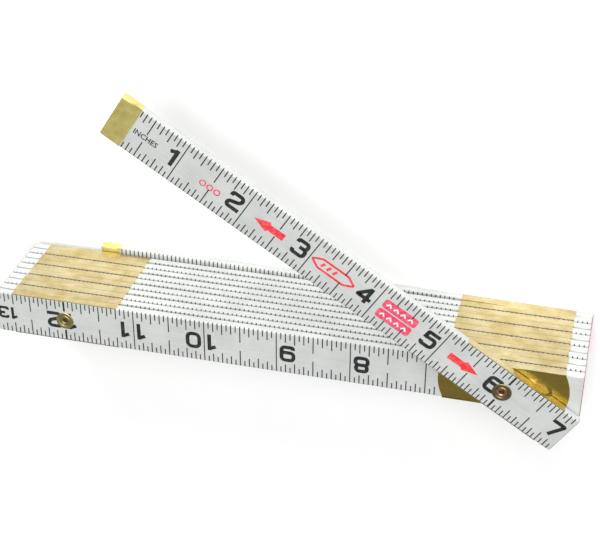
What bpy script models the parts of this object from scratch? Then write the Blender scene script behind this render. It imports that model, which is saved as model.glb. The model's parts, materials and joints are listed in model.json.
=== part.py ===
"""A six-foot folding rule: twelve painted sticks on eleven spring joints.

Every stick is built in a frame of its own. Its x axis runs along the stick, from the pivot that joins it to the
stick below (x = 0) to the pivot that joins it to the stick above (x = PIVOT_SPACING). z = 0 is its underside.
"""
import math

import bmesh
import bpy
from mathutils import Vector

MM = 0.001
INCH = 25.4 * MM

# Sticks
STICK_COUNT = 12
STICK_WIDTH = 0.625 * INCH
STICK_THICKNESS = 3.0 * MM
STICK_GAP = 0.6 * MM  # between neighbours in the folded pack
STICK_PITCH = STICK_THICKNESS + STICK_GAP
PIVOT_SPACING = 6.0 * INCH
TAIL = 25.4 * MM  # wood past a pivot
CORNER = 0.3 * MM  # taken off the stick's long corners
# Joints that rest open, counted from folded. The last one leans 2 mm the other way at the capped end.
OPEN_ANGLE = {1: math.radians(33.0), 11: math.radians(-0.75)}

# Joint plates
SHEET = 0.4 * MM
FACE_PROUD = 0.1 * MM  # plate above the stick's face
EDGE_PROUD = 0.05 * MM  # plate outside the stick's long edge
GAP = 0.25 * MM  # between pieces that touch
PLATE_HALF_LENGTH = 0.76 * INCH
PLATE_BULGE = 0.08 * INCH  # how far the curved ends stand out at the middle
PLATE_ARC_STEPS = 4
PLATE_HOLE_RADIUS = 2.1 * MM
LIP = 0.2 * MM  # wood left at the outer face beside a plate's flanges
RIB_HEIGHT = 0.2 * MM
RIB_HALF_LENGTH = 0.63 * INCH
RIB_HALF_WIDTH = 0.18 * INCH
RIB_SLOPE = 0.7 * MM
RIB_ARC_STEPS = 6

# Rivets and washers
SHANK_RADIUS = 1.5 * MM
RIVET_BORE_RADIUS = 0.75 * MM
RIVET_BORE_DEPTH = 3.2 * MM
ROLL_RADIUS = 2.0 * MM
ROLL_HEIGHT = 0.35 * MM
HEAD_RADIUS = 3.25 * MM
DISC_THICKNESS = 0.45 * MM  # rivet head and washer alike
DISC_PROUD = 0.2 * MM
ROUND_STEPS = 16

# End caps
CAP_LENGTH = 0.29 * INCH

PLATE_HALF_WIDTH = STICK_WIDTH / 2 + EDGE_PROUD
PLATE_SEAT_DEPTH = SHEET + GAP - FACE_PROUD
EDGE_SEAT_DEPTH = SHEET + GAP - EDGE_PROUD
FLANGE_HEIGHT = FACE_PROUD + STICK_THICKNESS - LIP - GAP
DISC_SEAT_DEPTH = DISC_THICKNESS + GAP - DISC_PROUD
DISC_SEAT_RADIUS = HEAD_RADIUS + GAP
BORE_RADIUS = SHANK_RADIUS + GAP
OVERCUT = 1.0 * MM  # how far a cutter runs past the surface it opens


def make_material(name, colour, roughness, metallic):
    material = bpy.data.materials.new(name)
    material.use_nodes = True
    shader = material.node_tree.nodes["Principled BSDF"]
    shader.inputs["Base Color"].default_value = (*colour, 1.0)
    shader.inputs["Roughness"].default_value = roughness
    shader.inputs["Metallic"].default_value = metallic
    return material


def mesh_from(bm, name):
    mesh = bpy.data.meshes.new(name)
    bmesh.ops.recalc_face_normals(bm, faces=bm.faces)
    bm.to_mesh(mesh)
    bm.free()
    return mesh


def place(name, mesh, material, parent, location=(0.0, 0.0, 0.0), turn=(0.0, 0.0, 0.0)):
    piece = bpy.data.objects.new(name, mesh)
    bpy.context.scene.collection.objects.link(piece)
    piece.parent = parent
    piece.location = location
    piece.rotation_euler = turn
    if not mesh.materials:
        mesh.materials.append(material)
    return piece


def box(x_low, x_high, y_low, y_high, z_low, z_high):
    bm = bmesh.new()
    bmesh.ops.create_cube(bm, size=1.0)
    bmesh.ops.scale(bm, vec=(x_high - x_low, y_high - y_low, z_high - z_low), verts=bm.verts)
    centre = Vector((x_low + x_high, y_low + y_high, z_low + z_high)) / 2
    bmesh.ops.translate(bm, vec=centre, verts=bm.verts)
    return bm


def prism(outline, z_low, z_high):
    """A flat outline raised from z_low to z_high."""
    bm = bmesh.new()
    verts = [bm.verts.new((x, y, z_low)) for x, y in outline]
    face = bm.faces.new(verts)
    top = bmesh.ops.extrude_face_region(bm, geom=[face])["geom"]
    raised = [v for v in top if isinstance(v, bmesh.types.BMVert)]
    bmesh.ops.translate(bm, vec=(0.0, 0.0, z_high - z_low), verts=raised)
    return bm


def circle(radius, x=0.0, steps=ROUND_STEPS):
    angles = [2 * math.pi * i / steps for i in range(steps)]
    return [(x + radius * math.cos(a), radius * math.sin(a)) for a in angles]


def stadium(half_length, half_width, x=0.0):
    """A slot shape with half-round ends, counter-clockwise."""
    points = []
    for side in (1, -1):
        for i in range(RIB_ARC_STEPS + 1):
            angle = math.pi * (i / RIB_ARC_STEPS - 0.5)
            along = side * (half_length - half_width + half_width * math.cos(angle))
            points.append((x + along, side * half_width * math.sin(angle)))
    return points


def plate_outline(spread=0.0, x=0.0):
    """A plate's face seen flat: straight long sides, ends that bow outwards."""
    half_length = PLATE_HALF_LENGTH + spread
    half_width = PLATE_HALF_WIDTH + spread
    points = []
    for side in (1, -1):
        for i in range(PLATE_ARC_STEPS + 1):
            across = 2 * i / PLATE_ARC_STEPS - 1
            along = half_length + PLATE_BULGE * (1 - across ** 2)
            points.append((x + side * along, side * across * half_width))
    return points


def carve(name, body, joined, cutters):
    """The body with the joined shapes added and the cutters taken out, as one mesh."""
    work = [bpy.data.objects.new(name, mesh_from(body, name))]
    for operation, shapes in (("UNION", joined), ("DIFFERENCE", cutters)):
        for shape in shapes:
            tool = bpy.data.objects.new(name + "_tool", mesh_from(shape, name + "_tool"))
            tool.hide_render = True
            tool.display_type = "WIRE"
            work.append(tool)
            boolean = work[0].modifiers.new(operation, "BOOLEAN")
            boolean.operation = operation
            boolean.solver = "EXACT"
            boolean.object = tool
    for piece in work:
        bpy.context.scene.collection.objects.link(piece)
    depsgraph = bpy.context.evaluated_depsgraph_get()
    mesh = bpy.data.meshes.new_from_object(work[0].evaluated_get(depsgraph))
    for piece in work:
        bpy.data.objects.remove(piece)
    return mesh


def plate_seat_cutters(x, face_z, inward, rib_pocket):
    """Room for one joint plate: under its face, under its two flanges, and behind a sunk rib."""
    outside = face_z - inward * OVERCUT
    floor = face_z + inward * PLATE_SEAT_DEPTH
    cutters = [prism(plate_outline(GAP, x), *sorted((outside, floor)))]
    flange_end = face_z + inward * (STICK_THICKNESS - LIP)
    reach = PLATE_HALF_LENGTH + GAP
    for side in (1, -1):
        ys = sorted((side * (STICK_WIDTH / 2 - EDGE_SEAT_DEPTH), side * (STICK_WIDTH / 2 + OVERCUT)))
        cutters.append(box(x - reach, x + reach, *ys, *sorted((outside, flange_end))))
    if rib_pocket:
        slot = stadium(RIB_HALF_LENGTH + GAP, RIB_HALF_WIDTH + GAP, x)
        cutters.append(prism(slot, *sorted((outside, floor + inward * RIB_HEIGHT))))
    return cutters


def joint_cutters(x, plate_on_top):
    """The plate seat on the meeting face, the disc seat on the outer face and the rivet's bore."""
    top, underside = STICK_THICKNESS, 0.0
    if plate_on_top:
        cutters = plate_seat_cutters(x, top, -1, rib_pocket=False)
        disc_seat = (underside - OVERCUT, underside + DISC_SEAT_DEPTH)
    else:
        cutters = plate_seat_cutters(x, underside, 1, rib_pocket=True)
        disc_seat = (top - DISC_SEAT_DEPTH, top + OVERCUT)
    cutters.append(prism(circle(DISC_SEAT_RADIUS, x), *disc_seat))
    cutters.append(prism(circle(BORE_RADIUS, x), underside - OVERCUT, top + OVERCUT))
    return cutters


def stick_mesh(name, first_joint=True, last_joint=True):
    """A stick with a joint at x = 0, at x = PIVOT_SPACING, or an end cap's tongue in place of either."""
    cap_seat = CAP_LENGTH + GAP
    tongue_inset = SHEET + GAP
    x_low = -TAIL if first_joint else cap_seat
    x_high = PIVOT_SPACING + (TAIL if last_joint else -cap_seat)
    body = box(x_low, x_high, -STICK_WIDTH / 2, STICK_WIDTH / 2, 0.0, STICK_THICKNESS)
    long_edges = [e for e in body.edges if abs(e.verts[0].co.x - e.verts[1].co.x) > TAIL]
    bmesh.ops.bevel(body, geom=long_edges, offset=CORNER, segments=1, affect="EDGES")
    tongues = []
    for joined, cap_x, inward in ((first_joint, 0.0, 1), (last_joint, PIVOT_SPACING, -1)):
        if not joined:
            xs = sorted((cap_x + inward * tongue_inset, cap_x + inward * (cap_seat + OVERCUT)))
            half_width = STICK_WIDTH / 2 - EDGE_SEAT_DEPTH
            zs = (PLATE_SEAT_DEPTH, STICK_THICKNESS - PLATE_SEAT_DEPTH)
            tongues.append(box(*xs, -half_width, half_width, *zs))
    cutters = []
    if first_joint:
        cutters += joint_cutters(0.0, plate_on_top=False)
    if last_joint:
        cutters += joint_cutters(PIVOT_SPACING, plate_on_top=True)
    return carve(name, body, tongues, cutters)


def ring_of(bm, points, z):
    verts = [bm.verts.new((x, y, z)) for x, y in points]
    edges = [bm.edges.new((a, b)) for a, b in zip(verts, verts[1:] + verts[:1])]
    return verts, edges


def plate_mesh(name, rib):
    """A joint plate's outer skin, facing up: face, rib, rivet hole and the two folded flanges."""
    bm = bmesh.new()
    edge_verts, edge_loop = ring_of(bm, plate_outline(), 0.0)
    foot_verts, foot_loop = ring_of(bm, stadium(RIB_HALF_LENGTH, RIB_HALF_WIDTH), 0.0)
    crest = stadium(RIB_HALF_LENGTH - RIB_SLOPE, RIB_HALF_WIDTH - RIB_SLOPE)
    crest_verts, crest_loop = ring_of(bm, crest, rib)
    hole_loop = ring_of(bm, circle(PLATE_HOLE_RADIUS, steps=12), rib)[1]
    bmesh.ops.triangle_fill(bm, edges=edge_loop + foot_loop, use_beauty=True, normal=(0.0, 0.0, 1.0))
    bmesh.ops.bridge_loops(bm, edges=foot_loop + crest_loop)
    bmesh.ops.triangle_fill(bm, edges=crest_loop + hole_loop, use_beauty=True, normal=(0.0, 0.0, 1.0))
    long_sides = [e for e in edge_loop if abs(e.verts[0].co.x - e.verts[1].co.x) > PLATE_HALF_LENGTH]
    for side in long_sides:
        folded = bmesh.ops.extrude_edge_only(bm, edges=[side])["geom"]
        verts = [v for v in folded if isinstance(v, bmesh.types.BMVert)]
        bmesh.ops.translate(bm, vec=(0.0, 0.0, -FLANGE_HEIGHT), verts=verts)
    return sheet_mesh(bm, name, outward=Vector((0.0, 0.0, 1.0)))


def sheet_mesh(bm, name, outward):
    """A sheet's outer skin as a mesh, turned so that its faces look outward and it thickens inwards."""
    bmesh.ops.recalc_face_normals(bm, faces=bm.faces)
    widest = max(bm.faces, key=lambda f: f.calc_area() * abs(f.normal.dot(outward)))
    if widest.normal.dot(outward) < 0:
        bmesh.ops.reverse_faces(bm, faces=bm.faces)
    mesh = bpy.data.meshes.new(name)
    bm.to_mesh(mesh)
    bm.free()
    return mesh


def cap_mesh(name):
    """An end cap's outer skin: a box open towards +x, its closed end at x = 0."""
    half_width = STICK_WIDTH / 2 + EDGE_PROUD
    bm = box(0.0, CAP_LENGTH, -half_width, half_width, -FACE_PROUD, STICK_THICKNESS + FACE_PROUD)
    mouth = max(bm.faces, key=lambda f: f.calc_center_median().x)
    bmesh.ops.delete(bm, geom=[mouth], context="FACES_ONLY")
    return sheet_mesh(bm, name, outward=Vector((-1.0, 0.0, 0.0)))


def thicken(piece):
    sheet = piece.modifiers.new("Sheet", "SOLIDIFY")
    sheet.thickness = SHEET
    sheet.offset = -1.0
    sheet.use_even_offset = True


def turned(name, profile, closed_ring):
    """A shape turned about z from (radius, height) points; a ring's profile closes on itself."""
    bm = bmesh.new()
    verts = [bm.verts.new((radius, 0.0, height)) for radius, height in profile]
    edges = [bm.edges.new(pair) for pair in zip(verts, verts[1:])]
    if closed_ring:
        edges.append(bm.edges.new((verts[-1], verts[0])))
    bmesh.ops.spin(
        bm, geom=verts + edges, cent=(0.0, 0.0, 0.0), axis=(0.0, 0.0, 1.0),
        angle=2 * math.pi, steps=ROUND_STEPS, use_merge=True,
    )
    bmesh.ops.remove_doubles(bm, verts=bm.verts, dist=0.001 * MM)
    mesh = mesh_from(bm, name)
    mesh.shade_smooth()
    mesh.set_sharp_from_angle(angle=math.radians(35.0))
    return mesh


def rivet_mesh(name):
    """A rivet seen from its joint's lower stick: head under z = 0, tube end over the upper stick."""
    top = STICK_PITCH + STICK_THICKNESS + DISC_PROUD
    head_low = -DISC_PROUD
    head_high = head_low + DISC_THICKNESS
    profile = [
        (0.0, head_low),
        (HEAD_RADIUS, head_low),
        (HEAD_RADIUS, head_high),
        (SHANK_RADIUS, head_high),
        (SHANK_RADIUS, top - ROLL_HEIGHT),
        (ROLL_RADIUS, top),
        (RIVET_BORE_RADIUS, top),
        (RIVET_BORE_RADIUS, top - RIVET_BORE_DEPTH),
        (0.0, top - RIVET_BORE_DEPTH),
    ]
    return turned(name, profile, closed_ring=False)


def washer_mesh(name):
    """A washer with its hole countersunk for the rivet's rolled end, its underside at z = 0."""
    profile = [
        (SHANK_RADIUS + GAP, 0.0),
        (HEAD_RADIUS, 0.0),
        (HEAD_RADIUS, DISC_THICKNESS),
        (ROLL_RADIUS + GAP, DISC_THICKNESS),
    ]
    return turned(name, profile, closed_ring=True)


def build():
    for leftover in list(bpy.data.objects):
        bpy.data.objects.remove(leftover)

    enamel = make_material("enamel", (0.78, 0.79, 0.79), 0.35, 0.0)
    plate_brass = make_material("plate_brass", (0.62, 0.47, 0.17), 0.28, 1.0)
    cap_brass = make_material("cap_brass", (0.56, 0.45, 0.15), 0.35, 1.0)
    bronze = make_material("rivet_bronze", (0.32, 0.20, 0.12), 0.40, 1.0)
    washer_metal = make_material("washer_metal", (0.30, 0.26, 0.16), 0.40, 1.0)

    middle_stick = stick_mesh("middle_stick")
    stick_meshes = {
        1: stick_mesh("first_stick", last_joint=False),
        STICK_COUNT: stick_mesh("last_stick", first_joint=False),
    }
    raised_plate = plate_mesh("raised_plate", RIB_HEIGHT)
    sunk_plate = plate_mesh("sunk_plate", -RIB_HEIGHT)
    rivet = rivet_mesh("rivet")
    washer = washer_mesh("washer")
    cap = cap_mesh("end_cap")

    # The lowest stick's frame starts at its capped end; each stick above hangs on the far pivot of the one below.
    frame = None
    for number in range(STICK_COUNT, 0, -1):
        pivot = bpy.data.objects.new(f"stick_{number:02d}_frame", None)
        bpy.context.scene.collection.objects.link(pivot)
        if frame is None:
            lean = OPEN_ANGLE[STICK_COUNT - 1]
            pivot.location = (PIVOT_SPACING * (0.5 - math.cos(lean)), -PIVOT_SPACING * math.sin(lean), 0.0)
            pivot.rotation_euler.z = lean
        else:
            pivot.parent = frame
            pivot.location = (PIVOT_SPACING, 0.0, STICK_PITCH)
            pivot.rotation_euler.z = math.pi - OPEN_ANGLE.get(number, 0.0)
        frame = pivot

        place(f"stick_{number:02d}", stick_meshes.get(number, middle_stick), enamel, frame)
        if number < STICK_COUNT:
            below = (0.0, 0.0, -FACE_PROUD)
            name = f"joint_plate_{number:02d}_upper"
            thicken(place(name, sunk_plate, plate_brass, frame, below, (math.pi, 0.0, 0.0)))
            washer_at = (0.0, 0.0, STICK_THICKNESS + DISC_PROUD - DISC_THICKNESS)
            place(f"spring_washer_{number:02d}", washer, washer_metal, frame, washer_at)
        if number > 1:
            above = (PIVOT_SPACING, 0.0, STICK_THICKNESS + FACE_PROUD)
            thicken(place(f"joint_plate_{number - 1:02d}_lower", raised_plate, plate_brass, frame, above))
            place(f"rivet_{number - 1:02d}", rivet, bronze, frame, (PIVOT_SPACING, 0.0, 0.0))
        if number == STICK_COUNT:
            thicken(place("end_cap_72_inch", cap, cap_brass, frame))
        if number == 1:
            at_zero = (PIVOT_SPACING, 0.0, 0.0)
            thicken(place("end_cap_zero", cap, cap_brass, frame, at_zero, (0.0, 0.0, math.pi)))


build()
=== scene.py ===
import json
import math

import bmesh
import bpy
from mathutils import Matrix, Vector


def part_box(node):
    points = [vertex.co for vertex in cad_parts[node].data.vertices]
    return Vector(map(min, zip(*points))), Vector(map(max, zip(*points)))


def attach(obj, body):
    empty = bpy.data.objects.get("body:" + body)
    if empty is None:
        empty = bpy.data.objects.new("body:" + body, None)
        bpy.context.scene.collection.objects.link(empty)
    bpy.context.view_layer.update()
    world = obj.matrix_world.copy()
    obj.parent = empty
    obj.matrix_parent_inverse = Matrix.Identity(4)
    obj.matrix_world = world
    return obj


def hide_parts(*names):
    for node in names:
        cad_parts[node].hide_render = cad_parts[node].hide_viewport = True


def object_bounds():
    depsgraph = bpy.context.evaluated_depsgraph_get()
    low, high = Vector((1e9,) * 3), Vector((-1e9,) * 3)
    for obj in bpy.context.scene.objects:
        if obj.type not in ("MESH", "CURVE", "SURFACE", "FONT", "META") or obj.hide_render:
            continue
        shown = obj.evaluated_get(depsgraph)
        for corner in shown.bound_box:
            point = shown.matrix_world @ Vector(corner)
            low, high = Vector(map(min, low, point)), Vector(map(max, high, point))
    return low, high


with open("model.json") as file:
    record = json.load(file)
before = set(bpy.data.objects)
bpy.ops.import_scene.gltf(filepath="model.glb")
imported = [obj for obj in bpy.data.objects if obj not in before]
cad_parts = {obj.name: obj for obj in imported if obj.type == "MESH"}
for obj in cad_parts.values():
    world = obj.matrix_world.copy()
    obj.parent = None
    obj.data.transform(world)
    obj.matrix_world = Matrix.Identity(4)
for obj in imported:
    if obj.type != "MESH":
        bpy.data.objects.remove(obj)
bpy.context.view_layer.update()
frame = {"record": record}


# -----------------------------------------------------------------------------------------------------------
# Sticks. Twelve thin slats of straight-grained hardwood, sawn, sanded and dipped in white enamel. Their long
# corners are eased, a shallow rebate takes each joint plate, and a bore at each joint takes its rivet.
# -----------------------------------------------------------------------------------------------------------

MM = 0.001
INCH = 25.4 * MM
STICK_COUNT = 12
STICK_WIDTH = 15.875 * MM
STICK_THICKNESS = 3.0 * MM
INCHES_PER_STICK = 6  # from pivot to pivot
PIVOT_SPACING = 152.4 * MM
TAIL = 25.4 * MM  # of wood past each pivot
EASED_CORNER = 0.5 * MM
CORNER_STEPS = 4
END_CORNER = 0.22 * MM
END_CORNER_STEPS = 2
CORNER_TOLERANCE = EASED_CORNER / 10  # within which an edge counts as lying on a side or an end
SHARPEST_BEND = math.radians(60.0)  # that a face may make with its neighbour before their edge is a corner
END_FACING = 0.3  # of a normal's length along the stick, past which a face near an end is sealed red
RIVET_BORE = 1.75 * MM
BORE_STEPS = 32
REBATE_HALF_LENGTH = 17.2 * MM
REBATE_DEPTH = 0.75 * MM
REBATE_WALL = 0.05 * MM  # how far each end wall of the rebate slopes
CUT_TOLERANCE = 1e-7
CAP_WALL = 0.4 * MM
LIES_FLAT = 0.9999  # of a normal's length along one axis, past which a face is flat and not part of a corner

pivots = {joint["name"]: Vector(joint["pos_m"]) for joint in frame["record"]["behaviour"]["joints"]}


def joint_point(number):
    """Where joint number's rivet stands, seen from above."""
    return pivots[f"spring_joint_{number:02d}"].to_2d()


def middle_of(node):
    """The middle of a CAD node's box, seen from above."""
    low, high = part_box(node)
    return ((low + high) / 2).to_2d()


def stick_place(number):
    """From a stick's own frame to the object's: x runs from the joint of its number to the one before."""
    if number == 1:
        start = joint_point(1)
        along = (middle_of("end_cap_zero") - start).normalized()
    elif number == STICK_COUNT:
        along = (joint_point(STICK_COUNT - 1) - middle_of("end_cap_72_inch")).normalized()
        start = joint_point(STICK_COUNT - 1) - along * PIVOT_SPACING
    else:
        start = joint_point(number)
        along = (joint_point(number - 1) - start).normalized()
    turn = Matrix.Rotation(math.atan2(along.y, along.x), 4, "Z")
    return Matrix.Translation((start.x, start.y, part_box(f"stick_{number:02d}")[0].z)) @ turn


places = {number: stick_place(number) for number in range(1, STICK_COUNT + 1)}


def linear(hex_colour):
    """An sRGB hex colour as linear RGBA."""
    channels = [int(hex_colour[i:i + 2], 16) / 255 for i in (1, 3, 5)]
    return (*[c / 12.92 if c <= 0.04045 else ((c + 0.055) / 1.055) ** 2.4 for c in channels], 1.0)


def add_node(material, kind, settings=None, **inputs):
    """Adds one node. settings are its own properties; inputs are values or the sockets that feed it."""
    node = material.node_tree.nodes.new(kind)
    for name, value in (settings or {}).items():
        setattr(node, name, value)
    for name, value in inputs.items():
        key = int(name[1:]) if name[0] == "_" else name.replace("_", " ")
        if isinstance(value, bpy.types.NodeSocket):
            material.node_tree.links.new(value, node.inputs[key])
        else:
            node.inputs[key].default_value = value
    return node


def new_material(name):
    """An empty material and its shader."""
    material = bpy.data.materials.new(name)
    material.use_nodes = True
    return material, material.node_tree.nodes["Principled BSDF"]


def enamel_on_hardwood(name, turn):
    """White alkyd enamel dipped over sanded hardwood: a gloss skin, through which the grain shows as long
    faint ripples, and which has picked up a little grime unevenly. turn is the stick's direction."""
    material, shader = new_material(name)
    link = material.node_tree.links.new
    place = add_node(material, "ShaderNodeTexCoord").outputs["Object"]
    along = add_node(
        material, "ShaderNodeMapping", {"vector_type": "TEXTURE"}, Vector=place, Rotation=(0.0, 0.0, turn)
    ).outputs["Vector"]
    # Grain lines 0.8 mm apart and some 20 mm long
    grain_place = add_node(
        material, "ShaderNodeMapping", Vector=along, Scale=(1 / 0.020, 1 / 0.0008, 1 / 0.0008)
    ).outputs["Vector"]
    grain = add_node(
        material, "ShaderNodeTexNoise", Vector=grain_place, Scale=1.0, Detail=3.0, Roughness=0.6
    ).outputs["Fac"]
    # Clouds of tone 12 mm across
    cloud = add_node(
        material, "ShaderNodeTexNoise", Vector=along, Scale=1 / 0.012, Detail=4.0, Roughness=0.65
    ).outputs["Fac"]
    tone = add_node(material, "ShaderNodeValToRGB", Fac=cloud)
    tone.color_ramp.elements[0].position = 0.30
    tone.color_ramp.elements[0].color = linear("#BBBEBC")
    tone.color_ramp.elements[1].position = 0.62
    tone.color_ramp.elements[1].color = linear("#C8CAC7")
    grain_tone = add_node(material, "ShaderNodeValToRGB", Fac=grain)
    grain_tone.color_ramp.elements[0].position = 0.25
    grain_tone.color_ramp.elements[0].color = linear("#F1F1EE")
    grain_tone.color_ramp.elements[1].position = 0.6
    grain_tone.color_ramp.elements[1].color = linear("#FFFFFF")
    colour = add_node(
        material, "ShaderNodeMix", {"data_type": "RGBA", "blend_type": "MULTIPLY"},
        _0=0.7, _6=tone.outputs["Color"], _7=grain_tone.outputs["Color"],
    ).outputs[2]
    # Specks of grime under 0.9 mm across, here and there
    speck = add_node(
        material, "ShaderNodeTexNoise", Vector=along, Scale=1 / 0.0009, Detail=2.0, Roughness=0.5
    ).outputs["Fac"]
    speck_mask = add_node(
        material, "ShaderNodeMapRange", Value=speck, _1=0.70, _2=0.78, _3=0.0, _4=0.30
    ).outputs["Result"]
    soiled = add_node(
        material, "ShaderNodeMix", {"data_type": "RGBA"},
        _0=speck_mask, _6=colour, _7=linear("#8E8A7C"),
    ).outputs[2]
    link(soiled, shader.inputs["Base Color"])
    rough = add_node(
        material, "ShaderNodeMapRange", Value=cloud, _1=0.3, _2=0.7, _3=0.36, _4=0.26
    ).outputs["Result"]
    link(rough, shader.inputs["Roughness"])
    shader.inputs["IOR"].default_value = 1.5
    ripple = add_node(material, "ShaderNodeBump", Strength=0.25, Distance=0.00004, Height=grain)
    orange_peel = add_node(
        material, "ShaderNodeTexNoise", Vector=along, Scale=1 / 0.0025, Detail=1.0
    ).outputs["Fac"]
    skin = add_node(
        material, "ShaderNodeBump", Strength=0.2, Distance=0.00005, Height=orange_peel,
        Normal=ripple.outputs["Normal"],
    )
    link(skin.outputs["Normal"], shader.inputs["Normal"])
    return material


def red_end_sealer():
    """Red lacquer brushed on the sawn ends to seal them: thin, so the pores show as darker dots."""
    material, shader = new_material("red end sealer")
    link = material.node_tree.links.new
    place = add_node(material, "ShaderNodeTexCoord").outputs["Object"]
    # Pores 0.5 mm apart
    pores = add_node(
        material, "ShaderNodeTexNoise", Vector=place, Scale=1 / 0.0005, Detail=3.0
    ).outputs["Fac"]
    tone = add_node(material, "ShaderNodeValToRGB", Fac=pores)
    tone.color_ramp.elements[0].position = 0.35
    tone.color_ramp.elements[0].color = linear("#7E2238")
    tone.color_ramp.elements[1].position = 0.62
    tone.color_ramp.elements[1].color = linear("#A84058")
    link(tone.outputs["Color"], shader.inputs["Base Color"])
    shader.inputs["Roughness"].default_value = 0.5
    bump = add_node(material, "ShaderNodeBump", Strength=0.4, Distance=0.00004, Height=pores)
    link(bump.outputs["Normal"], shader.inputs["Normal"])
    return material


def turn_of(number):
    """Which way stick number points, as an angle from x. The folded sticks lie along x either way round."""
    return places[number].to_euler().z


stick_enamel = enamel_on_hardwood("white enamel on hardwood", 0.0)
first_stick_enamel = enamel_on_hardwood("white enamel on hardwood, first stick", turn_of(1))
end_sealer = red_end_sealer()


def moved_verts(geometry):
    """The vertices among what an extrusion made."""
    return [item for item in geometry if isinstance(item, bmesh.types.BMVert)]


def stick_blank(x_low, x_high, bores):
    """A slat with its bores, cut flat, then raised to its thickness and eased at its corners."""
    bm = bmesh.new()
    bmesh.ops.create_grid(bm, x_segments=1, y_segments=1, size=0.5)
    bmesh.ops.scale(bm, vec=(x_high - x_low, STICK_WIDTH, 1.0), verts=bm.verts)
    bmesh.ops.translate(bm, vec=((x_low + x_high) / 2, 0.0, 0.0), verts=bm.verts)
    bmesh.ops.delete(bm, geom=bm.faces[:], context="FACES_ONLY")
    for x in bores:
        bore = bmesh.ops.create_circle(bm, segments=BORE_STEPS, radius=RIVET_BORE)["verts"]
        bmesh.ops.translate(bm, vec=(x, 0.0, 0.0), verts=bore)
    bmesh.ops.triangle_fill(bm, edges=bm.edges[:], use_beauty=True, normal=(0.0, 0.0, 1.0))
    raised = bmesh.ops.extrude_face_region(bm, geom=bm.faces[:])["geom"]
    bmesh.ops.translate(bm, vec=(0.0, 0.0, STICK_THICKNESS), verts=moved_verts(raised))
    bmesh.ops.recalc_face_normals(bm, faces=bm.faces)
    long_corners = [e for e in bm.edges if is_long_corner(e)]
    bmesh.ops.bevel(
        bm, geom=long_corners, offset=EASED_CORNER, segments=CORNER_STEPS, profile=0.5,
        affect="EDGES", material=-1,
    )
    end_edges = [e for e in bm.edges if is_end_corner(e, x_low, x_high)]
    bmesh.ops.bevel(
        bm, geom=end_edges, offset=END_CORNER, segments=END_CORNER_STEPS, profile=0.5,
        affect="EDGES", material=-1,
    )
    return bm


def is_long_corner(edge):
    """Whether an edge of the slat runs along one of its long corners."""
    a, b = (v.co for v in edge.verts)
    at_side = min(abs(a.y), abs(b.y)) > STICK_WIDTH / 2 - CORNER_TOLERANCE
    return at_side and abs(a.x - b.x) > TAIL


def is_end_corner(edge, x_low, x_high):
    """Whether an edge of the slat runs round one of its sawn ends."""
    a, b = (v.co for v in edge.verts)
    at_end = any(max(abs(a.x - x), abs(b.x - x)) < CORNER_TOLERANCE for x in (x_low, x_high))
    return at_end and abs(edge.calc_face_angle(0.0)) > SHARPEST_BEND


def cut_rebate(bm, x, on_top):
    """Lowers one face of the slat where a joint plate lies; the plate hides the cut."""
    reach = REBATE_HALF_LENGTH
    for cut in (x - reach - REBATE_WALL, x - reach, x + reach, x + reach + REBATE_WALL):
        bmesh.ops.bisect_plane(
            bm, geom=bm.verts[:] + bm.edges[:] + bm.faces[:], dist=CUT_TOLERANCE,
            plane_co=(cut, 0.0, 0.0), plane_no=(1.0, 0.0, 0.0),
        )
    inward = -1 if on_top else 1
    middle = STICK_THICKNESS / 2
    sunk = [
        v for v in bm.verts
        if abs(v.co.x - x) < reach + REBATE_WALL / 2 and (v.co.z - middle) * inward < -middle / 2
    ]
    bmesh.ops.translate(bm, vec=(0.0, 0.0, inward * REBATE_DEPTH), verts=sunk)


def finish_mesh(bm, name, place, materials):
    """Turns a bmesh into an object at the origin, with its place in its mesh. Flat faces stay flat."""
    bmesh.ops.recalc_face_normals(bm, faces=bm.faces)
    for face in bm.faces:
        face.smooth = max(abs(part) for part in face.normal) < LIES_FLAT
    mesh = bpy.data.meshes.new(name)
    bm.to_mesh(mesh)
    bm.free()
    mesh.transform(place)
    for material in materials:
        mesh.materials.append(material)
    piece = bpy.data.objects.new(name, mesh)
    bpy.context.scene.collection.objects.link(piece)
    return piece


for number in range(1, STICK_COUNT + 1):
    has_lower_joint = number < STICK_COUNT
    has_upper_joint = number > 1
    x_low = -TAIL if has_lower_joint else CAP_WALL
    x_high = PIVOT_SPACING + TAIL if has_upper_joint else PIVOT_SPACING - CAP_WALL
    bores = [x for x, wanted in ((0.0, has_lower_joint), (PIVOT_SPACING, has_upper_joint)) if wanted]
    bm = stick_blank(x_low, x_high, bores)
    if has_lower_joint:
        cut_rebate(bm, 0.0, on_top=False)
    if has_upper_joint:
        cut_rebate(bm, PIVOT_SPACING, on_top=True)
    for face in bm.faces:
        middle = face.calc_center_median()
        near_end = min(middle.x - x_low, x_high - middle.x) < END_CORNER
        face.material_index = 1 if near_end and abs(face.normal.x) > END_FACING else 0
    enamel = first_stick_enamel if number == 1 else stick_enamel
    stick = finish_mesh(bm, f"enamelled_stick_{number:02d}", places[number], [enamel, end_sealer])
    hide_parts(f"stick_{number:02d}")
    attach(stick, f"section_{number:02d}")


# -----------------------------------------------------------------------------------------------------------
# Printing. The graduations and numerals are stamped in black ink on both faces before the plates go on.
# Every graduation runs over the eased corner, so it shows as a row of dots along the stick's edge.
# -----------------------------------------------------------------------------------------------------------

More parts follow.
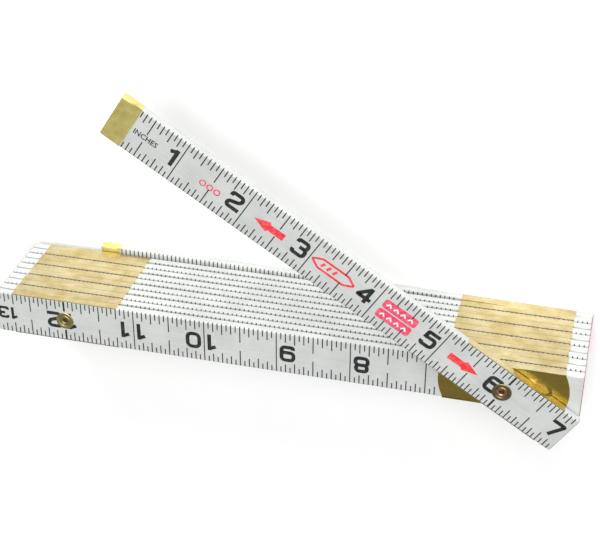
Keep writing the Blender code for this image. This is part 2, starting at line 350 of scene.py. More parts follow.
INK_PROUD = 0.03 * MM
INK_SUNK = 0.02 * MM
SIXTEENTHS_PER_INCH = 16
SIXTEENTH = INCH / SIXTEENTHS_PER_INCH
SIXTEENTHS_PER_STICK = SIXTEENTHS_PER_INCH * INCHES_PER_STICK
TICK_WIDTH = 0.38 * MM
INCH_LINE_WIDTH = 0.36 * MM
RIVET_TICK_WIDTH = 0.70 * MM
TICK_LENGTHS = {1: 2.4 * MM, 2: 3.5 * MM, 4: 4.15 * MM, 8: 6.3 * MM}  # sixteenths, eighths, quarters, halves
RIVET_TICK_LENGTH = 4.1 * MM
WRAPPED_STEPS = 3  # of the corner's CORNER_STEPS that the stamp reaches
PLATED_STEPS = 2  # the same, where the stick's other face has a plate
RED_LIFT = -0.008 * MM  # red goes on first, the numerals last
NUMERAL_LIFT = 0.006 * MM
STROKE_LIFT = 0.004 * MM  # each stroke of a mark over the one before
CAP_LENGTH = 0.29 * INCH
PRINT_END = 131.0 * MM  # where the top plate starts
SAWN_END_GAP = 0.35 * MM  # of bare paint before the print starts
ZERO_CAP_GAP = 0.2 * MM
LAST_CAP_GAP = 0.3 * MM
NUMBERED_INCHES = 4  # short of a joint's own reading, as a plate covers the fifth
STROKE = 1.34 * MM
NUMERAL_HEIGHT = 6.4 * MM
NUMERAL_WIDTH = 5.35 * MM
ONE_WIDTH = 3.4 * MM
NUMERAL_INSET = 0.6 * MM  # of the strokes' centre lines in the numeral's box
FIRST_STICK_SHIFT = 0.4 * MM  # by which the first stick's numerals are printed higher
LINE_CLEARANCE = 1.2 * MM
SMALL_NUMERAL = 0.75  # of full size, for a pair of digits squeezed in at a stick's end
ROUND_PULL = 0.55  # of the way to the corner, for a handle that rounds a square corner
ROUND_REACH = 0.48  # of a stroke's side, the most that one rounded corner takes
# Centre lines of the numerals' strokes in mm, from the lower left centre-line corner. Each stroke is its
# points, the radius of its corners, and whether it closes.
NUMERAL_STROKES = {
    "0": [([(0, 0), (4.15, 0), (4.15, 5.2), (0, 5.2)], 1.5, True)],
    "1": [([(2.2, -0.6), (2.2, 5.8)], 0, False), ([(0.0, 4.15), (2.3, 5.15)], 0, False)],
    "2": [([(0, 3.9), (0, 5.2), (4.1, 5.2), (4.1, 3.0), (0.05, 1.75), (0.05, 0), (4.75, 0)], 1.25, False)],
    "3": [
        ([(0.1, 4.1), (0.1, 5.2), (3.95, 5.2), (3.95, 2.8), (1.5, 2.8)], 1.0, False),
        ([(1.5, 2.8), (4.15, 2.8), (4.15, 0), (0, 0), (0, 1.15)], 1.0, False),
    ],
    "4": [([(3.1, -0.6), (3.1, 5.8)], 0, False), ([(2.9, 5.2), (-0.3, 1.3), (4.75, 1.3)], 0.35, False)],
    "5": [
        ([(4.6, 5.2), (0.3, 5.2), (0.2, 2.5)], 0.3, False),
        ([(0.2, 3.05), (4.15, 3.3), (4.15, 0), (0, 0), (0, 1.1)], 1.1, False),
    ],
    "6": [
        ([(4.0, 4.2), (4.0, 5.2), (0, 5.2), (0, 0), (4.15, 0), (4.15, 3.05), (1.8, 3.05)], 1.2, False),
        ([(2.0, 3.05), (0, 3.05)], 0, False),
    ],
    "7": [([(-0.6, 5.2), (4.1, 5.2), (1.3, -0.6)], 0.5, False)],
    "8": [
        ([(0, 0), (4.15, 0), (4.15, 2.75), (0, 2.75)], 1.1, True),
        ([(0.25, 2.75), (3.9, 2.75), (3.9, 5.2), (0.25, 5.2)], 1.0, True),
    ],
    "9": [
        ([(0.15, 1.0), (0.15, 0), (4.15, 0), (4.15, 5.2), (0, 5.2), (0, 2.15), (2.35, 2.15)], 1.2, False),
        ([(2.15, 2.15), (4.15, 2.15)], 0, False),
    ],
}


def stamped_ink(name, colour, worn_colour):
    """Oil-based printing ink stamped on enamel: matter than the enamel, with an uneven film that is thinner
    in patches a millimetre across."""
    material, shader = new_material(name)
    link = material.node_tree.links.new
    place = add_node(material, "ShaderNodeTexCoord").outputs["Object"]
    film = add_node(
        material, "ShaderNodeTexNoise", Vector=place, Scale=1 / 0.0011, Detail=3.0, Roughness=0.6
    ).outputs["Fac"]
    tone = add_node(material, "ShaderNodeValToRGB", Fac=film)
    tone.color_ramp.elements[0].position = 0.45
    tone.color_ramp.elements[0].color = linear(colour)
    tone.color_ramp.elements[1].position = 0.78
    tone.color_ramp.elements[1].color = linear(worn_colour)
    link(tone.outputs["Color"], shader.inputs["Base Color"])
    rough = add_node(material, "ShaderNodeMapRange", Value=film, _1=0.3, _2=0.7, _3=0.42, _4=0.55)
    link(rough.outputs["Result"], shader.inputs["Roughness"])
    bump = add_node(material, "ShaderNodeBump", Strength=0.3, Distance=0.00002, Height=film)
    link(bump.outputs["Normal"], shader.inputs["Normal"])
    return material


black_ink = stamped_ink("black stamped ink", "#161A18", "#3A403C")
red_ink = stamped_ink("red stamped ink", "#E0303A", "#EE6A74")
crimson_ink = stamped_ink("crimson stamped ink", "#D8405E", "#EC8096")
white_ink = stamped_ink("white stamped ink", "#F0E6E8", "#F6D8DE")
inks = [black_ink, red_ink, crimson_ink, white_ink]
BLACK, RED, CRIMSON, WHITE = range(4)  # places in inks


def edge_profile(inner_y, wrapped_steps):
    """The ink's outer and inner skins in section, from inner_y on the stick's face round its corner."""
    corner_y = STICK_WIDTH / 2 - EASED_CORNER
    corner_z = STICK_THICKNESS - EASED_CORNER
    skins = []
    for offset in (INK_PROUD, -INK_SUNK):
        radius = EASED_CORNER + offset
        skin = [(inner_y, STICK_THICKNESS + offset)]
        for step in range(wrapped_steps + 1):
            angle = math.pi / 2 * (1 - step / CORNER_STEPS)
            skin.append((corner_y + radius * math.cos(angle), corner_z + radius * math.sin(angle)))
        skins.append(skin)
    return skins


def ink_bar(bm, x, width, length):
    """A graduation at x: a film of ink from each edge of the face inwards, over the corner."""
    beside_plate = min(abs(x), abs(x - PIVOT_SPACING)) < REBATE_HALF_LENGTH
    outer, inner = edge_profile(STICK_WIDTH / 2 - length, PLATED_STEPS if beside_plate else WRAPPED_STEPS)
    for side in (1, -1):
        section = [bm.verts.new((x - width / 2, side * y, z)) for y, z in outer + inner[::-1]]
        drawn = bmesh.ops.extrude_face_region(bm, geom=[bm.faces.new(section)])["geom"]
        bmesh.ops.translate(bm, vec=(width, 0.0, 0.0), verts=moved_verts(drawn))


def graduations(bm, x_low, x_high, x_of_zero):
    """Sixteenths along both edges between x_low and x_high. Readings grow as x falls from x_of_zero."""
    first = math.ceil((x_of_zero - x_high) / SIXTEENTH)
    last = math.floor((x_of_zero - x_low) / SIXTEENTH)
    for sixteenth in range(first, last + 1):
        x = x_of_zero - sixteenth * SIXTEENTH
        if sixteenth % SIXTEENTHS_PER_STICK == 0:
            ink_bar(bm, x, RIVET_TICK_WIDTH, RIVET_TICK_LENGTH)
        elif sixteenth % SIXTEENTHS_PER_INCH == 0:
            ink_bar(bm, x, INCH_LINE_WIDTH, STICK_WIDTH / 2)
        else:
            step = max(s for s in TICK_LENGTHS if sixteenth % s == 0)
            ink_bar(bm, x, TICK_WIDTH, TICK_LENGTHS[step])


def rounded_line(curve, points, radius, closed, lift):
    """Adds a line to a curve, with its corners rounded."""
    corners = [Vector((x * MM, y * MM, lift)) for x, y in points]
    count = len(corners)
    knots = []
    for i, corner in enumerate(corners):
        before, after = corners[i - 1], corners[(i + 1) % count]
        if not closed and i in (0, count - 1):
            knots.append([corner, corner, corner])
            continue
        shorter = min((before - corner).length, (after - corner).length)
        reach = min(radius * MM, ROUND_REACH * shorter)
        start = corner + (before - corner).normalized() * reach
        end = corner + (after - corner).normalized() * reach
        knots.append([start, start, start.lerp(corner, ROUND_PULL)])
        knots.append([end, end.lerp(corner, ROUND_PULL), end])
    for i in range(1 if closed else 0, len(knots), 2):
        start, end = knots[i], knots[(i + 1) % len(knots)]
        start[2] = start[0].lerp(end[0], 1 / 3)
        end[1] = end[0].lerp(start[0], 1 / 3)
    spline = curve.splines.new("BEZIER")
    spline.bezier_points.add(len(knots) - 1)
    spline.use_cyclic_u = closed
    for point, (place, handle_in, handle_out) in zip(spline.bezier_points, knots):
        point.co, point.handle_left, point.handle_right = place, handle_in, handle_out


def stroked(name, strokes, width, smoothness=4):
    """Strokes of ink as a mesh: each centre line swept with a flat strip's section."""
    strip = bpy.data.curves.new(name + "_strip", "CURVE")
    corners = strip.splines.new("POLY")
    corners.points.add(3)
    corners.use_cyclic_u = True
    for point, (y, z) in zip(corners.points, ((-1, -1), (1, -1), (1, 1), (-1, 1))):
        point.co = (y * width / 2, INK_PROUD if z > 0 else -INK_SUNK, 0.0, 1.0)
    strip_object = bpy.data.objects.new(name + "_strip", strip)
    curve = bpy.data.curves.new(name, "CURVE")
    curve.dimensions = "3D"
    curve.twist_mode = "Z_UP"
    curve.fill_mode = "FULL"
    curve.bevel_mode = "OBJECT"
    curve.bevel_object = strip_object
    curve.use_fill_caps = True
    curve.resolution_u = smoothness
    for order, (points, radius, closed) in enumerate(strokes):
        rounded_line(curve, points, radius, closed, order * STROKE_LIFT)
    holder = bpy.data.objects.new(name, curve)
    for item in (strip_object, holder):
        bpy.context.scene.collection.objects.link(item)
    mesh = bpy.data.meshes.new_from_object(holder.evaluated_get(bpy.context.evaluated_depsgraph_get()))
    for item in (strip_object, holder):
        bpy.data.objects.remove(item)
    return mesh


numeral_meshes = {
    digit: stroked(f"numeral_{digit}", strokes, STROKE) for digit, strokes in NUMERAL_STROKES.items()
}


def lay_on_face(bm, mesh, x, y, ink=BLACK, scale=1.0, lift=0.0):
    """Lays a mark on the top face with its lower left corner at x, y. It reads towards -x, and up is -y."""
    vert_count = len(bm.verts)
    face_count = len(bm.faces)
    bm.from_mesh(mesh)
    added = list(bm.verts)[vert_count:]
    for face in list(bm.faces)[face_count:]:
        face.material_index = ink
    turn = Matrix.Rotation(math.pi, 4, "Z") @ Matrix.Diagonal((scale, scale, 1.0, 1.0))
    bmesh.ops.transform(bm, matrix=Matrix.Translation((x, y, STICK_THICKNESS + lift)) @ turn, verts=added)


def numeral(bm, digit, x_left, up_shift=0.0, scale=1.0):
    """One numeral whose left side stands at x_left."""
    inset = NUMERAL_INSET * scale
    y = NUMERAL_HEIGHT / 2 * scale - inset - up_shift
    lay_on_face(bm, numeral_meshes[digit], x_left - inset, y, scale=scale, lift=NUMERAL_LIFT)


def numbers(bm, inches, x_of_zero, x_low, up_shift=0.0):
    """Numerals at their inch lines: one digit stands before its line, two stand on both sides of it."""
    for inch in inches:
        x = x_of_zero - inch * INCH
        digits = str(inch)
        widths = [(ONE_WIDTH if digit == "1" else NUMERAL_WIDTH) for digit in digits]
        if len(digits) == 1:
            numeral(bm, digits, x + LINE_CLEARANCE + widths[0], up_shift)
        elif x < x_low:
            units_left = x_low + SMALL_NUMERAL * widths[1]
            tens_left = units_left + SMALL_NUMERAL * (widths[0] + LINE_CLEARANCE)
            numeral(bm, digits[1], units_left, 0.0, SMALL_NUMERAL)
            numeral(bm, digits[0], tens_left, 0.0, SMALL_NUMERAL)
        else:
            numeral(bm, digits[0], x + LINE_CLEARANCE + widths[0], up_shift)
            numeral(bm, digits[1], x - LINE_CLEARANCE, up_shift)


MARK_CORNER_STEPS = 4


def flat_mark(points, round_by):
    """A filled mark of ink from its corner points in mm, with its corners rounded."""
    bm = bmesh.new()
    corners = [bm.verts.new((x * MM, y * MM, -INK_SUNK)) for x, y in points]
    bm.faces.new(corners)
    bmesh.ops.bevel(
        bm, geom=corners, offset=round_by * MM, segments=MARK_CORNER_STEPS, profile=0.5,
        affect="VERTICES", material=-1,
    )
    raised = bmesh.ops.extrude_face_region(bm, geom=bm.faces[:])["geom"]
    bmesh.ops.translate(bm, vec=(0.0, 0.0, INK_PROUD + INK_SUNK), verts=moved_verts(raised))
    bmesh.ops.recalc_face_normals(bm, faces=bm.faces)
    mesh = bpy.data.meshes.new("flat_mark")
    bm.to_mesh(mesh)
    bm.free()
    return mesh


WORD_SIZE = 2.6 * MM
WORD_THICKENING = 0.04 * MM


def unit_word():
    """The unit's name in small plain capitals, under 2 mm high."""
    text = bpy.data.curves.new("unit_word", "FONT")
    text.body = "INCHES"
    text.size = WORD_SIZE
    text.offset = WORD_THICKENING
    text.extrude = (INK_PROUD + INK_SUNK) / 2
    text.resolution_u = 2
    holder = bpy.data.objects.new("unit_word", text)
    bpy.context.scene.collection.objects.link(holder)
    mesh = bpy.data.meshes.new_from_object(holder.evaluated_get(bpy.context.evaluated_depsgraph_get()))
    mesh.transform(Matrix.Translation((0.0, 0.0, (INK_PROUD - INK_SUNK) / 2)))
    bpy.data.objects.remove(holder)
    return mesh


# Outlines and centre lines of the red marks, in mm
ARROW = [(0, 0), (5.4, 2.0), (5.9, 1.2), (11.6, 1.3), (11.6, -1.3), (5.9, -1.2), (5.4, -2.0)]
LOZENGE = [([(0, 0), (3.2, 1.9), (13.2, 1.9), (16.4, 0), (13.2, -1.9), (3.2, -1.9)], 0.6, True)]
DASHES = [([(3.9 + 2.3 * i, -0.8), (4.7 + 2.3 * i, 0.8)], 0, False) for i in range(3)]
RING = [([(0, 0), (1.9, 0), (1.9, 1.9), (0, 1.9)], 0.95, True)]
BADGE_HALVES = (
    [(0, 0.22), (13.0, 0.22), (13.0, 3.9), (0, 3.9)],
    [(0, -3.9), (13.0, -3.9), (13.0, -0.22), (0, -0.22)],
)
CHEVRON = [([(0, 0), (0.9, 1.1), (1.8, 0)], 0.1, False)]
ARROW_ROUND = 0.15
BADGE_ROUND = 1.0
RING_RADIUS = 0.95
RING_SPACING = 2.7
CHEVRON_START = 1.3
CHEVRON_SPACING = 2.8
CHEVRON_ROWS = (-2.6, 1.5)  # heights above the stick's middle line
CHEVRON_LIFT = 0.02  # over the badge's own ink
RING_STROKE = 0.45
LOZENGE_STROKE = 0.8
DASH_STROKE = 0.9
CHEVRON_STROKE = 0.55
# How far below the stick's middle line the marks sit
WORD_DROP = 0.6
RING_DROP = 1.85
ARROW_DROP = 0.2
LOZENGE_DROP = -0.1
# Where the marks start, in inches from zero
WORD_AT = 0.33
RINGS_AT = 1.39
ARROW_AT = 2.15
LOZENGE_AT = 3.03
BADGE_AT = 4.09
TURNED_ARROW_AT = 5.62


def first_stick_marks(bm, x_of_zero):
    """The first six inches' marks: the unit word, plain red arrows, rings, a lozenge and a badge."""
    def at(inches):
        """The place along the stick of a reading in inches."""
        return x_of_zero - inches * INCH

    lay_on_face(bm, unit_word(), at(WORD_AT), WORD_DROP * MM)
    ring = stroked("small_ring", RING, RING_STROKE * MM, 3)
    for i in range(3):
        x = at(RINGS_AT) + (RING_RADIUS - RING_SPACING * i) * MM
        lay_on_face(bm, ring, x, RING_DROP * MM, ink=CRIMSON, lift=RED_LIFT)
    arrow = flat_mark(ARROW, ARROW_ROUND)
    lay_on_face(bm, arrow, at(ARROW_AT), ARROW_DROP * MM, ink=RED, lift=RED_LIFT)
    arrow.transform(Matrix.Rotation(math.pi, 4, "Z"))
    lay_on_face(bm, arrow, at(TURNED_ARROW_AT), 0.0, ink=RED, lift=RED_LIFT)
    lozenge = stroked("lozenge", LOZENGE, LOZENGE_STROKE * MM, 3)
    dashes = stroked("dashes", DASHES, DASH_STROKE * MM, 1)
    for mark in (lozenge, dashes):
        lay_on_face(bm, mark, at(LOZENGE_AT), LOZENGE_DROP * MM, ink=RED, lift=RED_LIFT)
    for half in BADGE_HALVES:
        lay_on_face(bm, flat_mark(half, BADGE_ROUND), at(BADGE_AT), 0.0, ink=CRIMSON, lift=RED_LIFT)
    chevron = stroked("chevron", CHEVRON, CHEVRON_STROKE * MM, 1)
    chevron.transform(Matrix.Translation((0.0, 0.0, CHEVRON_LIFT * MM)))
    for row in CHEVRON_ROWS:
        for i in range(4):
            x = at(BADGE_AT) - (CHEVRON_START + CHEVRON_SPACING * i) * MM
            lay_on_face(bm, chevron, x, -row * MM, ink=WHITE)


def front_print(number):
    """Everything printed on stick number's upper face, in that stick's own frame."""
    bm = bmesh.new()
    x_of_zero = PIVOT_SPACING + (number - 1) * PIVOT_SPACING
    x_high = PIVOT_SPACING - CAP_LENGTH - ZERO_CAP_GAP if number == 1 else PRINT_END
    x_low = CAP_LENGTH + LAST_CAP_GAP if number == STICK_COUNT else SAWN_END_GAP - TAIL
    graduations(bm, x_low, x_high, x_of_zero)
    pivot_reading = INCHES_PER_STICK * number
    first_inch = 1 if number == 1 else pivot_reading - NUMBERED_INCHES
    last_inch = pivot_reading - 1 if number == STICK_COUNT else pivot_reading + 1
    up_shift = FIRST_STICK_SHIFT if number == 1 else 0.0
    numbers(bm, range(first_inch, last_inch + 1), x_of_zero, x_low, up_shift)
    if number == 1:
        first_stick_marks(bm, x_of_zero)
    mesh = bpy.data.meshes.new("print")
    bmesh.ops.recalc_face_normals(bm, faces=bm.faces)
    bm.to_mesh(mesh)
    bm.free()
    return mesh


to_back = (
    Matrix.Translation((PIVOT_SPACING / 2, 0.0, STICK_THICKNESS / 2))
    @ Matrix.Rotation(math.pi, 4, "Y")
    @ Matrix.Translation((-PIVOT_SPACING / 2, 0.0, -STICK_THICKNESS / 2))
)
for printed in range(1, STICK_COUNT + 1):
    artwork = front_print(printed)
    for face_name, number, turned_over in (
        ("front", printed, Matrix.Identity(4)),
        ("back", STICK_COUNT + 1 - printed, to_back),
    ):
        bm = bmesh.new()
        bm.from_mesh(artwork)
        place = places[number] @ turned_over
        printing = finish_mesh(bm, f"printing_{number:02d}_{face_name}", place, inks)
        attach(printing, f"section_{number:02d}")


# -----------------------------------------------------------------------------------------------------------
# Joint plates. Each is a blank of rolled brass sheet with bowed ends, pressed to raise or sink a long rib,
# and folded round the stick so that its two flanges grip the edges. One plate's rib snaps into the other's.
# -----------------------------------------------------------------------------------------------------------

SHEET = 0.4 * MM
FACE_PROUD = 0.18 * MM
EDGE_PROUD = 0.05 * MM
PLATE_HALF_LENGTH = 0.76 * INCH
PLATE_BULGE = 0.08 * INCH
PLATE_HOLE = 2.1 * MM
PLATE_HALF_WIDTH = STICK_WIDTH / 2 + EDGE_PROUD
FOLD_RADIUS = 0.10 * MM
SHOULDER = 0.20 * MM  # high, along the ribbed plate's long edges, which all but touch the other plate
SHOULDER_RISE = 0.25 * MM
SHOULDER_WIDTH = 0.45 * MM
FOLD_STEPS = 5
FLANGE_STOP = 0.08 * MM  # short of the stick's other face
FLANGE_DEPTH = FACE_PROUD + STICK_THICKNESS - FLANGE_STOP
BOW_STEPS = 10  # along each bowed end
# A plate's outward face, found by this, takes the darker brass of a painted dark reflection
FACING_OUT = 0.7  # of a normal's length off the stick, past which a plate's surface is part of its face
RIB_HALF_LENGTH = 0.63 * INCH
RIB_HALF_WIDTH = 0.18 * INCH
RIB_ROUND_STEPS = 48  # round the rib's two half-round ends together
ON_CENTRE = 1e-6
# The rib's flank, step by step: inwards and upwards
RIB_STEPS = (
    (0.30 * MM, 0.015 * MM),
    (0.30 * MM, 0.05 * MM),
    (0.30 * MM, 0.07 * MM),
    (0.30 * MM, 0.05 * MM),
    (0.30 * MM, 0.015 * MM),
)


def rolled_brass(name, turn, dark="#C4B17C", light="#D8CCA3"):
    """Cartridge brass, rolled and lightly polished: a warm mirror with fine rolling lines along the sheet, a
    little tarnish in clouds, and hairline scratches that spread its highlights."""
    material, shader = new_material(name)
    link = material.node_tree.links.new
    place = add_node(material, "ShaderNodeTexCoord").outputs["Object"]
    along = add_node(
        material, "ShaderNodeMapping", {"vector_type": "TEXTURE"}, Vector=place, Rotation=(0.0, 0.0, turn)
    ).outputs["Vector"]
    cloud = add_node(
        material, "ShaderNodeTexNoise", Vector=along, Scale=1 / 0.006, Detail=4.0, Roughness=0.6
    ).outputs["Fac"]
    # Rolling lines 0.35 mm apart, coarser than the real ones so that they show
    line_place = add_node(
        material, "ShaderNodeMapping", Vector=along, Scale=(1 / 0.030, 1 / 0.00035, 1 / 0.00035)
    ).outputs["Vector"]
    lines = add_node(
        material, "ShaderNodeTexNoise", Vector=line_place, Scale=1.0, Detail=3.0, Roughness=0.6
    ).outputs["Fac"]
    tone = add_node(material, "ShaderNodeValToRGB", Fac=cloud)
    tone.color_ramp.elements[0].position = 0.32
    tone.color_ramp.elements[0].color = linear(dark)
    tone.color_ramp.elements[1].position = 0.62
    tone.color_ramp.elements[1].color = linear(light)
    line_tone = add_node(material, "ShaderNodeValToRGB", Fac=lines)
    line_tone.color_ramp.elements[0].position = 0.3
    line_tone.color_ramp.elements[0].color = linear("#D8CDB4")
    line_tone.color_ramp.elements[1].position = 0.6
    line_tone.color_ramp.elements[1].color = linear("#FFFFFF")
    colour = add_node(
        material, "ShaderNodeMix", {"data_type": "RGBA", "blend_type": "MULTIPLY"},
        _0=0.6, _6=tone.outputs["Color"], _7=line_tone.outputs["Color"],
    ).outputs[2]
    link(colour, shader.inputs["Base Color"])
    shader.inputs["Metallic"].default_value = 1.0
    rough = add_node(material, "ShaderNodeMapRange", Value=cloud, _1=0.3, _2=0.7, _3=0.36, _4=0.26)
    link(rough.outputs["Result"], shader.inputs["Roughness"])
    scratches = add_node(material, "ShaderNodeBump", Strength=0.03, Distance=0.00002, Height=lines)
    # Slow waves 15 mm long, left by pressing and folding
    wave = add_node(material, "ShaderNodeTexNoise", Vector=along, Scale=1 / 0.015, Detail=0.0).outputs["Fac"]
    dents = add_node(
        material, "ShaderNodeBump", Strength=0.4, Distance=0.0003, Height=wave,
        Normal=scratches.outputs["Normal"],
    )
    link(dents.outputs["Normal"], shader.inputs["Normal"])
    return material


plate_brass = rolled_brass("rolled brass sheet", 0.0)
first_plate_brass = rolled_brass("rolled brass sheet, first stick", turn_of(1))
# The plates' outward faces take a darker brass than their flanges: a painted dark reflection, as if the
# polished face mirrored dark surroundings
face_brass_painted_dark_reflection = rolled_brass("joint plate face, painted dark reflection", 0.0, "#B29A45", "#C2AB59")
first_face_brass_painted_dark_reflection = rolled_brass("joint plate face, painted dark reflection, first stick", turn_of(1), "#B29A45", "#C2AB59")


def plate_mesh(rib_up):
    """A joint plate facing up, its face at z = 0: rib pressed, rivet hole pierced, flanges folded down."""
    bm = bmesh.new()
    shoulder = [(SHOULDER_RISE, -SHOULDER), (SHOULDER_WIDTH, -SHOULDER)] if rib_up > 0 else []
    out, down = shoulder[-1] if shoulder else (0.0, 0.0)
    face_half_width = PLATE_HALF_WIDTH - FOLD_RADIUS - out
    fold = list(shoulder)
    for step in range(1, FOLD_STEPS + 1):
        angle = math.pi / 2 * step / FOLD_STEPS
        fold.append((out + FOLD_RADIUS * math.sin(angle), down + FOLD_RADIUS * (1 - math.cos(angle))))
    fold.append((out + FOLD_RADIUS, FLANGE_DEPTH))
    bmesh.ops.create_grid(bm, x_segments=1, y_segments=BOW_STEPS, size=0.5)
    bmesh.ops.scale(bm, vec=(2 * PLATE_HALF_LENGTH, 2 * face_half_width, 1.0), verts=bm.verts)
    for v in bm.verts:
        across = v.co.y / PLATE_HALF_WIDTH
        v.co.x += math.copysign(PLATE_BULGE * (1 - across ** 2), v.co.x)
    inside = [e for e in bm.edges if not e.is_boundary]
    bmesh.ops.delete(bm, geom=bm.faces[:], context="FACES_ONLY")
    bmesh.ops.delete(bm, geom=inside, context="EDGES")
    outline = bm.edges[:]
    rib = bmesh.ops.create_circle(bm, segments=RIB_ROUND_STEPS, radius=RIB_HALF_WIDTH)["verts"]
    for v in rib:
        if abs(v.co.x) > ON_CENTRE:
            v.co.x += math.copysign(RIB_HALF_LENGTH - RIB_HALF_WIDTH, v.co.x)
    rib_outline = [e for e in bm.edges if e not in set(outline)]
    bmesh.ops.triangle_fill(bm, edges=outline + rib_outline, use_beauty=True, normal=(0.0, 0.0, 1.0))
    hole = bmesh.ops.create_circle(bm, segments=BORE_STEPS, radius=PLATE_HOLE)["verts"]
    hole_edges = list({e for v in hole for e in v.link_edges})
    filled = bmesh.ops.triangle_fill(
        bm, edges=rib_outline + hole_edges, use_beauty=True, normal=(0.0, 0.0, 1.0)
    )["geom"]
    pressed = [item for item in filled if isinstance(item, bmesh.types.BMFace)]
    bmesh.ops.recalc_face_normals(bm, faces=bm.faces)
    if bm.faces[:][0].normal.z < 0:
        bmesh.ops.reverse_faces(bm, faces=bm.faces)
    for inward, upward in RIB_STEPS:
        bmesh.ops.inset_region(
            bm, faces=pressed, thickness=inward, depth=rib_up * upward, use_boundary=False,
            use_even_offset=True,
        )
    rims = [e for e in bm.edges if e.is_boundary]
    sides = [e for e in rims if abs(e.verts[0].co.x - e.verts[1].co.x) > PLATE_HALF_LENGTH]
    for side in sides:
        folding = side
        away = math.copysign(1.0, side.verts[0].co.y)
        previous = (0.0, 0.0)
        for here in fold:
            drawn = bmesh.ops.extrude_edge_only(bm, edges=[folding])["geom"]
            move = (0.0, away * (here[0] - previous[0]), previous[1] - here[1])
            bmesh.ops.translate(bm, vec=move, verts=moved_verts(drawn))
            folding = next(item for item in drawn if isinstance(item, bmesh.types.BMEdge))
            previous = here
    bmesh.ops.recalc_face_normals(bm, faces=bm.faces)
    widest = max(bm.faces, key=lambda f: f.calc_area() * abs(f.normal.z))
    if widest.normal.z < 0:
        bmesh.ops.reverse_faces(bm, faces=bm.faces)
    for face in bm.faces:
        # Outward faces take the darker brass of a painted dark reflection; flanges and rims keep the plain
        # brass
        face.material_index = 1 if face.normal.z > FACING_OUT else 0
    bmesh.ops.solidify(bm, geom=bm.faces[:], thickness=SHEET)
    return bm


for joint in range(1, STICK_COUNT):
    for part_name, number, x, face_z, rib_up, flip in (
        ("lower", joint + 1, PIVOT_SPACING, STICK_THICKNESS + FACE_PROUD, 1, 0.0),
        ("upper", joint, 0.0, -FACE_PROUD, -1, math.pi),
    ):
        place = places[number] @ Matrix.Translation((x, 0.0, face_z)) @ Matrix.Rotation(flip, 4, "X")
        brass = [first_plate_brass, first_face_brass_painted_dark_reflection] if number == 1 else [plate_brass, face_brass_painted_dark_reflection]
        node = f"joint_plate_{joint:02d}_{part_name}"
        plate = finish_mesh(plate_mesh(rib_up), f"brass_plate_{joint:02d}_{part_name}", place, brass)
        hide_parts(node)
        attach(plate, f"section_{number:02d}")


# -----------------------------------------------------------------------------------------------------------
# Rivets and spring washers. A semi-tubular rivet of copper alloy goes up through both sticks, and its tube
# is rolled over a dished washer of darkened bronze that keeps the joint tight.
# -----------------------------------------------------------------------------------------------------------

STICK_PITCH = 3.6 * MM
SHANK_RADIUS = 1.5 * MM
BORE_RADIUS = 0.75 * MM
BORE_DEPTH = 3.2 * MM
ROLL_RADIUS = 2.0 * MM
ROLL_HEIGHT = 0.35 * MM
HEAD_RADIUS = 3.25 * MM
DISC_THICKNESS = 0.45 * MM
DISC_PROUD = 0.2 * MM
TURN_STEPS = 48
WELD = 1e-6  # apart, at which points on the axis are joined


def aged_bronze(name, dark, light, low_rough, high_rough):
    """Bronze that has darkened in handling: blotches of brown tarnish over brighter metal, rougher where
    darker.
    """
    material, shader = new_material(name)
    link = material.node_tree.links.new
    place = add_node(material, "ShaderNodeTexCoord").outputs["Object"]
    # Blotches of tarnish 1.4 mm across
    blotch = add_node(
        material, "ShaderNodeTexNoise", Vector=place, Scale=1 / 0.0014, Detail=5.0, Roughness=0.65
    ).outputs["Fac"]
    tone = add_node(material, "ShaderNodeValToRGB", Fac=blotch)
    tone.color_ramp.elements[0].position = 0.36
    tone.color_ramp.elements[0].color = linear(dark)
    tone.color_ramp.elements[1].position = 0.64
    tone.color_ramp.elements[1].color = linear(light)
    link(tone.outputs["Color"], shader.inputs["Base Color"])
    shader.inputs["Metallic"].default_value = 1.0
    rough = add_node(
        material, "ShaderNodeMapRange", Value=blotch, _1=0.3, _2=0.7, _3=high_rough, _4=low_rough
    )
    link(rough.outputs["Result"], shader.inputs["Roughness"])
    pits = add_node(material, "ShaderNodeBump", Strength=0.4, Distance=0.00004, Height=blotch)
    link(pits.outputs["Normal"], shader.inputs["Normal"])
    return material


washer_bronze = aged_bronze("darkened spring bronze", "#6C6246", "#988A60", 0.32, 0.5)
washer_brass = aged_bronze("dull spring brass", "#A89A62", "#CDBE82", 0.34, 0.5)
rivet_copper = aged_bronze("rubbed copper alloy", "#8C6A50", "#C8A284", 0.3, 0.45)
rivet_brass = aged_bronze("dull rivet brass", "#8E845E", "#BCB084", 0.32, 0.48)


def turned_mesh(profile, closed):
    """A profile of (radius, height) points spun round z."""
    bm = bmesh.new()
    verts = [bm.verts.new((radius, 0.0, height)) for radius, height in profile]
    edges = [bm.edges.new(pair) for pair in zip(verts, verts[1:])]
    if closed:
        edges.append(bm.edges.new((verts[-1], verts[0])))
    bmesh.ops.spin(
        bm, geom=verts + edges, cent=(0.0, 0.0, 0.0), axis=(0.0, 0.0, 1.0), angle=2 * math.pi,
        steps=TURN_STEPS, use_merge=True,
    )
    bmesh.ops.remove_doubles(bm, verts=bm.verts, dist=WELD)
    return bm


